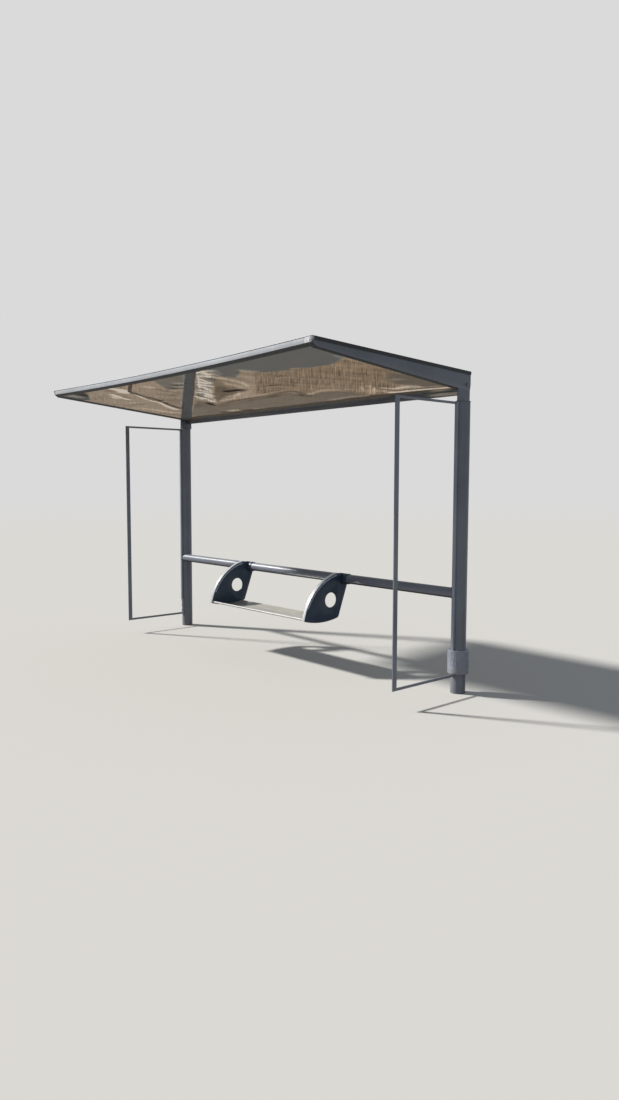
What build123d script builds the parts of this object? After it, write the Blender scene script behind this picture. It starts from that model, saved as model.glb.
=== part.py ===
from build123d import *
from math import acos, asin, atan2, cos, degrees, hypot, pi, radians, sin
import os

# Street bus shelter: a cantilevered roof and a hanging bench on two round rear posts, in millimetres.
# X runs along the shelter from the left post to the right one, Y to the back and Z up.
# The origin is the centre of the left post's foot, at ground level.

# Posts
post_spacing = 3840.0
post_od = 114.3
post_wall = 4.5
post_height = 2196.0
foot_plate = 10.0
cap_overhang = 1.5
cap_thickness = 8.0
cap_rim_chamfer = 1.6

# Roof arms, tapered to the front, each a plate with a flange turned inwards, on upright necks
arm_thickness = 12.0
arm_front = 1494.0
arm_rear = 84.0
arm_root_depth = 139.0
arm_tip_depth = 58.0
arm_tip_lift = 150.0
arm_rear_lift = 42.0
arm_flange_width = 52.0
arm_flange_thickness = 6.0
neck_height = 87.0
neck_front = 60.0
neck_rear = 76.0

# Front edge profile, a small hollow section with a sloping underside
nose_depth = 34.0
nose_face = 37.0
nose_wall = 3.0

# Rear beam and the sheets of the roof
beam_depth = 50.0
beam_height = 60.0
beam_wall = 3.0
beam_hang = 32.0
rear_sheet = 3.0
soffit_sheet_thickness = 2.5
soffit_gap = 0.3
roof_sheet_thickness = 2.5
roof_lip_drop = 22.0
roof_lip_wall = 2.0
roof_lip_gap = 0.5
roof_overhang_front = 3.0
roof_overhang_rear = 3.0

# Side screen frames, open and unglazed
screen_reach = 712.0
upright_width = 41.0
upright_thickness = 8.0
upright_edge_radius = 1.0
screen_bottom_z = 131.0
top_rail_height = 18.0
bottom_rail_height = 20.0
rear_bar_width = 20.0
rear_bar_depth = 18.0
rear_bar_wall = 2.5

# Bench tube, carried across the front of the posts
tube_od = 80.0
tube_wall = 4.0
tube_end_wall = 4.0
tube_forward = 30.0
tube_z = 767.0
tube_inset = 12.0

# Bench end plates, hung from the tube, and their collars
bench_width = 1374.0
plate_thickness = 8.0
plate_radius = 483.0
plate_arc_back = 3.0
plate_arc_drop = 417.5
plate_arc_end = 78.0
plate_tip_drop = 328.5
plate_bottom_forward = 280.0
plate_bottom_drop = 358.0
plate_heel_forward = 73.0
plate_heel_drop = 332.0
plate_heel_radius = 26.0
plate_lobe_wall = 6.0
plate_hole_diameter = 130.0
plate_hole_forward = 162.5
plate_hole_drop = 173.5
armrest_width = 30.0
armrest_thickness = 6.0
rim_depth = 23.0
rim_thickness = 3.0
rim_start = 24.0
collar_wall = 6.0
collar_width = 56.0
collar_chamfer = 1.5

# Seat pan
pan_thickness = 3.0
pan_lift = 6.0
pan_hem_radius = 9.0
pan_rear_setback = 34.0

# Protective wrap left round the foot of the right post
wrap_wall = 25.0
wrap_height = 190.0

# Clearances, and how far a cutter runs past what it cuts
curved_gap = 0.3
cut_margin = 2.0
cut_angle = 1.0

# Values worked out from the driving dimensions
post_r = post_od / 2
cap_r = post_r + cap_overhang
cap_top_z = post_height + cap_thickness
half_arm = arm_thickness / 2
arm_root_z = cap_top_z + neck_height
arm_top_root_z = arm_root_z + arm_root_depth
underside_rise = arm_tip_lift / arm_front
top_rise = (arm_tip_lift + arm_tip_depth - arm_root_depth) / arm_front
inner_left = half_arm
inner_right = post_spacing - half_arm
clear_span = inner_right - inner_left
beam_rear = neck_rear
beam_front = beam_rear - beam_depth
beam_bottom_z = arm_root_z - beam_hang
beam_top_z = beam_bottom_z + beam_height
screen_top_z = post_height
tube_r = tube_od / 2
tube_y = -tube_forward
plate_xs = {"left": (post_spacing - bench_width) / 2, "right": (post_spacing + bench_width) / 2}
post_xs = {"left": 0.0, "right": post_spacing}


def underside_z(y):
    # Height of the arms' lower edge at a distance y behind the posts' centres
    return arm_root_z - underside_rise * y


def top_z(y):
    # Height of the arms' upper edge
    return arm_top_root_z - top_rise * y


def side_profile(points, x_start, x_end):
    # A flat outline given as (y, z) points, carried along X
    outline = Plane.YZ * make_face(Polyline(*points, close=True))
    return Pos(x_start, 0, 0) * extrude(outline, amount=x_end - x_start)


def block(x_range, y_range, z_range):
    # A straight bar or plate between three pairs of limits
    size = [high - low for low, high in (x_range, y_range, z_range)]
    middle = [(high + low) / 2 for low, high in (x_range, y_range, z_range)]
    return Pos(*middle) * Box(*size)


def disc(x, y, z_low, z_high, radius):
    # An upright cylinder between two heights
    return Pos(x, y, (z_low + z_high) / 2) * Cylinder(radius, z_high - z_low)


def rod(y, z, x_low, x_high, radius):
    # A cylinder lying along X
    return Pos((x_low + x_high) / 2, y, z) * Rot(0, 90, 0) * Cylinder(radius, x_high - x_low)


def make_post(x):
    # Round tube, closed at the foot
    tube = disc(x, 0, 0, post_height, post_r)
    bore = disc(x, 0, foot_plate, post_height + cut_margin, post_r - post_wall)
    return tube - bore


def make_post_cap(x):
    # Round cap plate with a softened rim
    cap = disc(x, 0, post_height, cap_top_z, cap_r)
    rim = cap.edges().filter_by(GeomType.CIRCLE).sort_by(Axis.Z)[-1]
    return chamfer(rim, cap_rim_chamfer)


def make_neck(x):
    # Upright plate between the cap and the arm, cut to the slope of the arm
    points = [
        (-neck_front, cap_top_z),
        (neck_rear, cap_top_z),
        (neck_rear, underside_z(neck_rear)),
        (-neck_front, underside_z(-neck_front)),
    ]
    return side_profile(points, x - half_arm, x + half_arm)


def make_arm(x, inward):
    # Tapered plate, bevelled below its tip like the nose, with a bottom flange that carries the soffit
    nose_back = -arm_front + nose_depth
    points = [
        (-arm_front, nose_face_bottom()),
        (nose_back, underside_z(nose_back)),
        (neck_rear, underside_z(neck_rear)),
        (arm_rear, underside_z(neck_rear) + arm_rear_lift),
        (arm_rear, top_z(arm_rear)),
        (-arm_front, top_z(-arm_front)),
    ]
    web = side_profile(points, x - half_arm, x + half_arm)
    strip = [
        (nose_back, underside_z(nose_back)),
        (beam_front, underside_z(beam_front)),
        (beam_front, underside_z(beam_front) + arm_flange_thickness),
        (nose_back, underside_z(nose_back) + arm_flange_thickness),
    ]
    edges = sorted((x, x + inward * (arm_flange_width - half_arm)))
    return web + side_profile(strip, *edges)


def soffit_z(y):
    # Height of the soffit's lower face, which lies on the arms' flanges
    return underside_z(y) + arm_flange_thickness + soffit_gap


def nose_face_bottom():
    # Height of the lower edge of the nose's upright face
    return top_z(-arm_front) - nose_face


def nose_outline(inset):
    # Outline of the front edge profile, or of its hollow when inset by the wall
    front = -arm_front + inset
    back = -arm_front + nose_depth - inset
    return [
        (front, top_z(front) - inset),
        (front, nose_face_bottom() + inset),
        (back, soffit_z(back) + inset),
        (back, top_z(back) - inset),
    ]


def make_front_fascia():
    # Hollow nose that joins the arms' front ends
    shell = side_profile(nose_outline(0.0), inner_left, inner_right)
    hollow = side_profile(nose_outline(nose_wall), inner_left - cut_margin, inner_right + cut_margin)
    return shell - hollow


def make_rear_beam():
    # Square hollow section behind the soffit
    outer = block((inner_left, inner_right), (beam_front, beam_rear), (beam_bottom_z, beam_top_z))
    bore_y = (beam_front + beam_wall, beam_rear - beam_wall)
    bore_z = (beam_bottom_z + beam_wall, beam_top_z - beam_wall)
    bored = outer - block((inner_left - cut_margin, inner_right + cut_margin), bore_y, bore_z)
    return fillet(bored.edges().filter_by(Axis.X).sort_by(Axis.Z)[:2], beam_wall)


def make_rear_fascia():
    # Upright sheet that closes the back of the roof above the beam
    front = beam_rear - rear_sheet
    points = [
        (front, beam_top_z),
        (beam_rear, beam_top_z),
        (beam_rear, top_z(beam_rear)),
        (front, top_z(front)),
    ]
    return side_profile(points, inner_left, inner_right)


def make_soffit():
    # Flat sheet between the nose and the rear beam, lying on the arms' flanges
    front = -arm_front + nose_depth
    points = [
        (front, soffit_z(front)),
        (beam_front, soffit_z(beam_front)),
        (beam_front, soffit_z(beam_front) + soffit_sheet_thickness),
        (front, soffit_z(front) + soffit_sheet_thickness),
    ]
    return side_profile(points, inner_left, inner_right)


def make_roof_sheet():
    # Top sheet with its side and rear edges turned down past the arms
    front = -arm_front - roof_overhang_front
    rear = arm_rear + roof_overhang_rear
    reach = half_arm + roof_lip_gap + roof_lip_wall
    top = [
        (front, top_z(front) + roof_sheet_thickness),
        (rear, top_z(rear) + roof_sheet_thickness),
        (rear, top_z(rear) - roof_lip_drop),
        (front, top_z(front) - roof_lip_drop),
    ]
    under = [
        (front - cut_margin, top_z(front - cut_margin)),
        (rear - roof_lip_wall, top_z(rear - roof_lip_wall)),
        (rear - roof_lip_wall, top_z(rear) - roof_lip_drop - cut_margin),
        (front - cut_margin, top_z(front) - roof_lip_drop - cut_margin),
    ]
    tray = side_profile(top, -reach, post_spacing + reach)
    hollow = side_profile(under, -reach + roof_lip_wall, post_spacing + reach - roof_lip_wall)
    return tray - hollow


def make_upright(x):
    # Front member of a side screen, a flat bar on edge
    half = upright_thickness / 2
    y_range = (-screen_reach - upright_width / 2, -screen_reach + upright_width / 2)
    bar = block((x - half, x + half), y_range, (screen_bottom_z, screen_top_z))
    return fillet(bar.edges().filter_by(Axis.Z), upright_edge_radius)


def rear_bar_front():
    # Front face of the bar on the post, where the rails end
    return -post_r - curved_gap - rear_bar_depth


def make_rail(x, z_low, z_high):
    # Horizontal member of a side screen, from the upright to the bar on the post
    half = upright_thickness / 2
    y_range = (-screen_reach + upright_width / 2, rear_bar_front())
    return block((x - half, x + half), y_range, (z_low, z_high))


def make_rear_bar(x):
    # Upright box section against the post, which closes the screen's frame
    half = rear_bar_width / 2
    y_range = (rear_bar_front(), rear_bar_front() + rear_bar_depth)
    outer = block((x - half, x + half), y_range, (screen_bottom_z, screen_top_z))
    bore_x = (x - half + rear_bar_wall, x + half - rear_bar_wall)
    bore_y = (y_range[0] + rear_bar_wall, y_range[1] - rear_bar_wall)
    bore_z = (screen_bottom_z + rear_bar_wall, screen_top_z - rear_bar_wall)
    return outer - block(bore_x, bore_y, bore_z)


def make_bench_tube():
    # Hollow tube with closed ends, coped round the front of both posts
    x_low = tube_inset
    x_high = post_spacing - tube_inset
    tube = rod(tube_y, tube_z, x_low, x_high, tube_r)
    tube -= rod(tube_y, tube_z, x_low + tube_end_wall, x_high - tube_end_wall, tube_r - tube_wall)
    for x in post_xs.values():
        tube -= disc(x, 0, tube_z - tube_od, tube_z + tube_od, post_r + curved_gap)
    return tube.solids().sort_by(SortBy.VOLUME)[-1]


def arc_centre():
    # Centre of the end plate's front curve
    return (tube_y + plate_arc_back, tube_z - plate_arc_drop)


def on_front_curve(radius, angle):
    # A point of the front curve, at an angle up from the forward direction
    y, z = arc_centre()
    return (y - radius * cos(radians(angle)), z + radius * sin(radians(angle)))


def tip_angle():
    # Angle of the front curve's lower end
    return degrees(asin((plate_arc_drop - plate_tip_drop) / plate_radius))


def circle_through(a, b, c):
    # Centre and radius of the circle through three points
    ax, ay = a[0] - c[0], a[1] - c[1]
    bx, by = b[0] - c[0], b[1] - c[1]
    cross = 2 * (ax * by - ay * bx)
    a2, b2 = ax * ax + ay * ay, bx * bx + by * by
    ux = (by * a2 - ay * b2) / cross
    uy = (ax * b2 - bx * a2) / cross
    return (c[0] + ux, c[1] + uy), hypot(ux, uy)


def plate_corners():
    # Tip, lowest point and heel of the end plate's bottom edge
    tip = on_front_curve(plate_radius, tip_angle())
    low = (tube_y - plate_bottom_forward, tube_z - plate_bottom_drop)
    heel = (tube_y - plate_heel_forward, tube_z - plate_heel_drop)
    return tip, low, heel


def tangent_to_lobe(point, radius, turn):
    # Where a line from the point touches the lobe round the tube, on the side that the turn gives
    dy, dz = point[0] - tube_y, point[1] - tube_z
    angle = atan2(dz, dy) + turn * acos(radius / hypot(dy, dz))
    return (tube_y + radius * cos(angle), tube_z + radius * sin(angle))


def make_end_plate(x):
    # Quarter fan that hangs from the tube, with a round hole in its middle
    tip, low, heel = plate_corners()
    top = on_front_curve(plate_radius, plate_arc_end)
    lobe_r = tube_r + plate_lobe_wall
    above = tangent_to_lobe(top, lobe_r, -1)
    behind = tangent_to_lobe(heel, lobe_r, 1)
    outline = [
        ThreePointArc(tip, on_front_curve(plate_radius, (plate_arc_end + tip_angle()) / 2), top),
        Line(top, above),
        Line(above, behind),
        Line(behind, heel),
        ThreePointArc(heel, low, tip),
    ]
    face = make_face(Wire(outline))
    face = fillet(face.vertices().sort_by_distance((*heel, 0))[0], plate_heel_radius)
    face += Pos(tube_y, tube_z) * Circle(lobe_r)
    face -= Pos(tube_y, tube_z) * Circle(tube_r + curved_gap)
    face -= Pos(tube_y - plate_hole_forward, tube_z - plate_hole_drop) * Circle(plate_hole_diameter / 2)
    return Pos(x - plate_thickness / 2, 0, 0) * extrude(Plane.YZ * face, amount=plate_thickness)


def front_band(x, width, inner, outer, low_angle, high_angle):
    # A band along the plate's front curve, as wide as given and centred on the plate
    middle = (low_angle + high_angle) / 2
    outline = [
        ThreePointArc(*[on_front_curve(inner, a) for a in (low_angle, middle, high_angle)]),
        Line(on_front_curve(inner, high_angle), on_front_curve(outer, high_angle)),
        ThreePointArc(*[on_front_curve(outer, a) for a in (high_angle, middle, low_angle)]),
        Line(on_front_curve(outer, low_angle), on_front_curve(inner, low_angle)),
    ]
    band = extrude(Plane.YZ * make_face(Wire(outline)), amount=width)
    return Pos(x - width / 2, 0, 0) * band


def make_armrest(x):
    # Flat bar rolled along the plate's front curve, with a raised rim on each side of the plate
    outer = plate_radius + armrest_thickness
    bar = front_band(x, armrest_width, plate_radius, outer, tip_angle(), plate_arc_end)
    rim_inner = plate_radius - rim_depth
    rim_width = plate_thickness + 2 * rim_thickness
    rims = front_band(x, rim_width, rim_inner, plate_radius, rim_start, plate_arc_end)
    cut_angles = (rim_start - cut_angle, plate_arc_end + cut_angle)
    rims -= front_band(x, plate_thickness, rim_inner - cut_margin, plate_radius, *cut_angles)
    return bar + rims


def make_collar(x, side):
    # Ring on the tube beside an end plate
    start = x + side * plate_thickness / 2
    end = start + side * collar_width
    low, high = sorted((start, end))
    ring = rod(tube_y, tube_z, low, high, tube_r + collar_wall)
    ring -= rod(tube_y, tube_z, low - cut_margin, high + cut_margin, tube_r + curved_gap)
    outer_edges = ring.edges().filter_by(GeomType.CIRCLE).sort_by(SortBy.RADIUS)[-2:]
    return chamfer(outer_edges, collar_chamfer)


def make_seat_pan():
    # Dished sheet between the end plates, just above their bottom edges, with a rolled front hem
    tip, low, heel = plate_corners()
    (cy, cz), bottom_r = circle_through(tip, low, heel)
    outer = bottom_r - pan_lift
    inner = outer - pan_thickness
    a_front = atan2(tip[1] - cz, tip[0] - cy)
    a_rear = atan2(heel[1] - cz, heel[0] - cy) - pan_rear_setback / bottom_r
    if a_front > 0:
        a_front -= 2 * pi
    hem_angle = a_front + (pan_hem_radius + pan_lift) / bottom_r
    a_middle = (hem_angle + a_rear) / 2

    def at(radius, angle):
        return (cy + radius * cos(angle), cz + radius * sin(angle))

    outline = [
        ThreePointArc(at(outer, hem_angle), at(outer, a_middle), at(outer, a_rear)),
        Line(at(outer, a_rear), at(inner, a_rear)),
        ThreePointArc(at(inner, a_rear), at(inner, a_middle), at(inner, hem_angle)),
        Line(at(inner, hem_angle), at(outer, hem_angle)),
    ]
    face = make_face(Wire(outline))
    hem_centre = at(inner + pan_thickness - pan_hem_radius, hem_angle)
    face += Pos(*hem_centre) * Circle(pan_hem_radius)
    face -= Pos(*hem_centre) * Circle(pan_hem_radius - pan_thickness)
    pan = extrude(Plane.YZ * face, amount=bench_width - plate_thickness)
    return Pos(plate_xs["left"] + plate_thickness / 2, 0, 0) * pan


def make_post_wrap():
    # Thick loose wrap round the post and the screen's rear bar, resting on the bottom rail
    x = post_xs["right"]
    z_low = screen_bottom_z + bottom_rail_height
    z_high = z_low + wrap_height
    wrap = disc(x, 0, z_low, z_high, post_r + wrap_wall)
    wrap -= disc(x, 0, z_low - cut_margin, z_high + cut_margin, post_r + curved_gap)
    half = rear_bar_width / 2 + curved_gap
    front = rear_bar_front() - curved_gap
    wrap -= block((x - half, x + half), (front, 0), (z_low - cut_margin, z_high + cut_margin))
    return wrap.solids().sort_by(SortBy.VOLUME)[-1]


nodes = {
    "front_fascia": make_front_fascia(),
    "rear_beam": make_rear_beam(),
    "rear_fascia": make_rear_fascia(),
    "soffit_sheet": make_soffit(),
    "roof_sheet": make_roof_sheet(),
    "bench_tube": make_bench_tube(),
    "seat_pan": make_seat_pan(),
    "right_post_wrap": make_post_wrap(),
}

for side, x in post_xs.items():
    inward = 1 if side == "left" else -1
    nodes[side + "_post"] = make_post(x)
    nodes[side + "_post_cap"] = make_post_cap(x)
    nodes[side + "_neck"] = make_neck(x)
    nodes[side + "_arm"] = make_arm(x, inward)
    nodes[side + "_screen_upright"] = make_upright(x)
    nodes[side + "_screen_top_rail"] = make_rail(x, screen_top_z - top_rail_height, screen_top_z)
    nodes[side + "_screen_bottom_rail"] = make_rail(x, screen_bottom_z, screen_bottom_z + bottom_rail_height)
    nodes[side + "_screen_rear_bar"] = make_rear_bar(x)

for side, x in plate_xs.items():
    nodes[side + "_end_plate"] = make_end_plate(x)
    nodes[side + "_armrest"] = make_armrest(x)
    nodes[side + "_plate_left_collar"] = make_collar(x, -1)
    nodes[side + "_plate_right_collar"] = make_collar(x, 1)

os.makedirs("parts", exist_ok=True)
for name, solid in nodes.items():
    solid.label = name
    export_step(solid, f"parts/{name}.step")
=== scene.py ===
import math
from contextlib import contextmanager

import bmesh
import bpy
import numpy as np
from bpy.props import FloatProperty, FloatVectorProperty, IntProperty, PointerProperty
from mathutils import Matrix, Vector, noise


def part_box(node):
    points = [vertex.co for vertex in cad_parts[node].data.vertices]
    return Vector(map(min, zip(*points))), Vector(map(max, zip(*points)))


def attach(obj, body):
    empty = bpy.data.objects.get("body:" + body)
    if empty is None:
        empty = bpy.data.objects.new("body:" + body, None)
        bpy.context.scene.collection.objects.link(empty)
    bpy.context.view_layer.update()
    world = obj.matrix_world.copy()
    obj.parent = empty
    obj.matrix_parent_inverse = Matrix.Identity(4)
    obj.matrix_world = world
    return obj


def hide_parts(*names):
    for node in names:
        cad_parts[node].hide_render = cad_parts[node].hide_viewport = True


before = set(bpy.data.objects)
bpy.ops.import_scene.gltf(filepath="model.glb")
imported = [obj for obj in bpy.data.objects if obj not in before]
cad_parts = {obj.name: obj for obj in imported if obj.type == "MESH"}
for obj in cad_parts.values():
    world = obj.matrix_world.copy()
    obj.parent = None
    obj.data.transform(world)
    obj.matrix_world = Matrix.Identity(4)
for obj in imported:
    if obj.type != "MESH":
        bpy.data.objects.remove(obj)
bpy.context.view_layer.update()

bl_info = {
    "name": "Bus Shelter Finish",
    "version": (1, 0, 0),
    "blender": (4, 5, 0),
    "location": "View3D > Sidebar > Shelter",
    "description": "Finishes the steel, sheets, bench and film of a cantilevered bus shelter",
    "category": "Object",
}

BODY = "root"
SIDES = ("left", "right")
POST_X = {side: sum(corner.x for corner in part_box(side + "_post")) / 2 for side in SIDES}

# Sizes in metres, as in the part's source
NOSE_Y, ROOF_REAR_Y = -1.494, 0.084
POST_R = 0.05715
TUBE_Y, TUBE_Z, TUBE_R = -0.030, 0.767, 0.040
SOFFIT_THICK = 0.0025
# The front curve of the bench's end plates: its centre and radius, where it ends and where the rims begin
ARC_Y, ARC_Z, ARC_R = TUBE_Y + 0.003, TUBE_Z - 0.4175, 0.483
ARC_END, RIM_START = math.radians(78.0), math.radians(24.0)
# Small roundings: of turned edges, the post caps and the collars, and how much rounder the fascia is
ARRIS, CAP_ROUND, COLLAR_ROUND, NOSE_ROUND = 0.0006, 0.0024, 0.0015, 1.6
# The armrest bar: how proud of the curve it stands, how far below its crown its valleys and lips lie, half the
# crown's width, and how far a lip's foot and top are from the bar's side
BAR_PROUD, VALLEY_DEPTH, LIP_DEPTH = 0.006, 0.0042, 0.0012
CROWN_HALF, LIP_FOOT, LIP_TOP = 0.0030, 0.0035, 0.0028
# The armrest's rims: from the plate's middle, and in from the curve
RIM_NEAR, RIM_FAR, RIM_INNER, RIM_OUTER = 0.0040, 0.0070, 0.023, 0.012
# The gap round a post where the tube is coped, and where a bolt sits on an arm's side
COPE_GAP, BOLT_Y, BOLT_Z = 0.0003, 0.042, 2.329
# Film: how high it starts above its box, its thickness and its gap on the roof's corner, where it starts and
# ends there from the right, and how far up the rear bar it reaches
FILM_LIFT, FILM_THICK, FILM_GAP = 0.004, 0.0005, 0.0003
CORNER_START, CORNER_END, BAR_FILM = 0.075, 0.012, 0.168
# The roof's front edge, where the fascia's colour, partly painted sunlight, begins and is full
EDGE_FROM, EDGE_TO = -1.476, -1.484
# The point under the camera that the soffit's painted reflection strokes fan out from, and the lean of the broad
# ones
FAN = (7.536, -4.724)
STROKE_LEAN = (0.0, 0.0, math.radians(-38.0))
# The camera, with its focal length and picture height in pixels, and the side that the sun is on
CAMERA_SPOT, CAMERA_YAW, CAMERA_PITCH, CAMERA_ROLL = (7.536, -4.724, 1.5815), 0.8546, -0.0829, 0.002
FOCAL_LENGTH, PICTURE_HEIGHT, SENSOR = 782.5, 1100.0, 36.0
SUN_SIDE, SUN_COLOUR, SUN_SPREAD = (-0.68, -0.41, 0.60), (1.0, 0.952, 0.885), math.radians(5.0)
FLOOR_REACH, FLOOR_FADE = 140.0, (9.0, 60.0)

# Painted reflections on the soffit, as marks: how much lighter in hundredths, half the width in millimetres,
# and then the points along each, as x and y on the sheet in centimetres
SOFFIT_REFLECTION_MARKS = [
    (30, 72, 24, -148, 25, -139), (-4, 50, 32, -139, 62, -144), (-4, 152, 34, -139, 34, -130),
    (22, 8, 64, -143, 26, -124), (-20, 36, 96, -141, 102, -135), (90, 40, 110, -144, 112, -140),
    (95, 30, 78, -127, 73, -120), (60, 26, 65, -121, 61, -114), (95, 26, 73, -120, 69, -113, 66, -105),
    (-18, 28, 84, -125, 76, -114, 76, -111), (160, 50, 111, -135, 103, -128), (-15, 8, 134, -148, 120, -141),
    (-22, 8, 145, -144, 117, -130), (-30, 20, 115, -128, 104, -112, 89, -94),
    (60, 19, 106, -123, 101, -114, 91, -103, 84, -91), (-30, 21, 92, -85, 80, -69, 69, -51),
    (80, 28, 82, -86, 82, -79, 67, -62, 58, -47), (30, 19, 88, -82, 98, -82), (30, 54, 152, -132, 152, -130),
    (-14, 47, 127, -105, 134, -97), (-14, 24, 130, -95, 147, -101, 155, -99), (32, 34, 191, -128, 198, -125),
    (-16, 31, 183, -124, 191, -120), (29, 28, 176, -119, 185, -117), (-16, 36, 168, -115, 176, -111),
    (-21, 35, 150, -121, 148, -112, 151, -104), (-18, 29, 95, -87, 108, -82, 120, -79),
    (-14, 171, 95, -76, 98, -68), (-16, 29, 33, -86, 45, -84, 62, -84), (16, 35, 45, -92, 70, -88),
    (28, 50, 28, -66, 33, -57, 32, -45, 41, -33), (-18, 47, 18, -39, 27, -23), (58, 4, 108, -71, 67, -44),
    (104, 15, 244, -143, 249, -144), (104, 21, 255, -145, 248, -138, 250, -135),
    (51, 19, 255, -144, 264, -141), (88, 7, 238, -137, 219, -124, 192, -106), (94, 29, 239, -134, 240, -130),
    (84, 17, 226, -127, 220, -114), (94, 26, 216, -121, 215, -113),
    (104, 33, 204, -113, 207, -109, 207, -107), (104, 21, 197, -107, 196, -102, 188, -93),
    (94, 33, 183, -99, 182, -90), (104, 29, 172, -93, 174, -87, 166, -77), (88, 17, 151, -83, 143, -71),
    (101, 21, 151, -76, 146, -66, 139, -57), (84, 21, 163, -82, 157, -71), (-20, 11, 221, -123, 212, -110),
    (-22, 13, 190, -103, 178, -86), (-22, 13, 160, -87, 152, -74, 134, -53), (-16, 18, 241, -137, 234, -123),
    (36, 28, 245, -137, 244, -127, 246, -118, 246, -104, 240, -93),
    (-16, 19, 249, -131, 248, -116, 256, -107),
    (-16, 20, 237, -125, 238, -113, 234, -103, 238, -96, 233, -86), (24, 19, 230, -115, 233, -110, 228, -102),
    (30, 10, 238, -92, 231, -84), (-2, 44, 214, -103, 167, -66), (-2, 40, 219, -100, 188, -77),
    (-2, 125, 213, -89, 213, -84), (16, 90, 226, -97, 227, -91),
    (-20, 27, 199, -84, 212, -83, 222, -82, 228, -81), (34, 6, 211, -105, 186, -88),
    (61, 8, 155, -66, 144, -58), (24, 13, 160, -57, 176, -60, 204, -73),
    (20, 17, 181, -69, 191, -68, 208, -77), (16, 40, 194, -63, 230, -80), (18, 25, 284, -130, 290, -122),
    (-14, 21, 275, -125, 276, -118, 277, -113), (14, 32, 265, -117, 268, -110),
    (12, 13, 265, -139, 259, -131), (-16, 22, 257, -80, 265, -79), (-14, 20, 289, -101, 296, -101),
    (-12, 20, 246, -82, 257, -82), (22, 4, 291, -115, 272, -101), (20, 4, 285, -63, 267, -47),
    (-30, 42, 134, -58, 126, -48, 126, -43, 142, -46, 166, -50, 189, -51, 208, -52, 218, -52, 237, -56, 249,
     -57, 255, -54, 253, -47, 249, -38),
    (16, 22, 153, -57, 176, -57, 198, -58, 216, -59, 238, -61, 256, -62, 262, -59, 260, -51, 255, -40),
    (61, 27, 108, -16, 122, -16), (18, 29, 149, -13, 160, -11), (-10, 33, 92, -14, 137, -12),
    (-2, 103, 257, -38, 271, -36, 285, -32, 294, -23),
    (22, 18, 233, -6, 250, -11, 273, -15, 282, -16, 294, -12),
    (16, 23, 257, -40, 279, -47, 293, -44, 303, -38, 305, -27), (51, 10, 327, -44, 320, -33, 304, -18),
    (51, 10, 328, -41, 321, -30, 306, -17), (45, 8, 325, -33, 317, -23, 309, -17),
    (39, 8, 319, -42, 308, -28), (54, 35, 331, -29, 334, -25, 338, -23, 348, -24, 357, -22),
    (-18, 27, 327, -23, 336, -18, 347, -17, 371, -10),
    (58, 35, 323, -20, 325, -13, 330, -10, 341, -12, 356, -11, 375, -7),
    (-20, 25, 325, -7, 342, -7, 359, -6, 376, -3), (42, 30, 323, -2, 341, -1, 361, -1, 376, 1),
    (-20, 38, 311, -8, 322, 4, 346, 3, 374, 5), (54, 27, 330, 9, 347, 9, 364, 8, 373, 7),
    (24, 20, 367, -16, 373, -15), (16, 29, 357, -48, 363, -47), (12, 17, 375, -121, 373, -110),
]
# Areas of painted reflection on the soffit: how light and how warm each is, how strong its strokes are,
# and then its corners in centimetres
SOFFIT_REFLECTION_AREAS = [
    (0.26, 0.62, 0.35, 133, -71, 130, -55, 121, -39, 158, -44, 183, -47, 202, -48, 231, -51, 245, -52, 248,
     -43, 245, -34, 272, -42, 287, -39, 297, -32, 296, -14, 307, -4, 330, 10, 6, 10, 60, -30),
    (0.34, 0.95, 1.0, 288, -121, 319, -113, 344, -106, 373, -112, 380, -80, 372, -45, 316, -11, 298, -15,
     294, -45, 279, -48, 254, -42, 260, -58, 244, -62, 209, -60),
    (0.205, 0.0, 0.0, 266, -150, 251, -124, 257, -115, 275, -125, 285, -131, 288, -121, 291, -117, 303, -113,
     315, -111, 323, -114, 332, -109, 342, -107, 354, -106, 366, -110, 376, -114, 386, -133, 386, -150),
    (0.36, 0.3, 0.6, 252, -148, 266, -143, 242, -124, 193, -95, 139, -57, 142, -67, 148, -81),
    (0.235, 0.8, 0.6, 237, -123, 229, -99, 220, -85, 224, -78, 196, -72, 174, -68, 143, -55, 159, -70, 202,
     -100),
    (0.25, 0.35, 0.5, 189, -151, 246, -155, 179, -113, 156, -115, 175, -135),
    (0.17, 0.0, 0.0, 2, -150, 62, -150, 53, -139, 19, -121, 2, -124),
    (0.22, 0.6, 0.2, 372, -66, 384, -50, 384, -10, 366, -12, 350, -36, 352, -50),
    (0.36, -0.15, 0.0, 235, -148, 250, -149, 23, -6, 6, -9),
    (0.26, 0.15, 0.2, 30, -2, 30, 10, 390, 10, 390, -4),
]
# How light and warm the painted reflection on the rest of the sheet is and how strong its strokes are, its
# darkest tone, how far an area's edge runs out, and the least half width of a mark
SOFFIT_REFLECTION_BASE, SOFFIT_DARKEST, AREA_BLEND, FINEST_MARK = (0.50, 0.82, 0.35), 0.03, 0.022, 0.007


# ---- Sizes and colours that a user would change


def colour(name, description, default):
    return FloatVectorProperty(name=name, description=description, default=default, size=3, min=0.0, max=1.0,
                               subtype="COLOR")


def length(name, description, default, most, precision=4):
    return FloatProperty(name=name, description=description, default=default, min=0.0, max=most,
                         precision=precision, subtype="DISTANCE", unit="LENGTH")


def level(name, description, default, most=1.0):
    return FloatProperty(name=name, description=description, default=default, min=0.0, max=most,
                         subtype="FACTOR" if most == 1.0 else "NONE")


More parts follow.
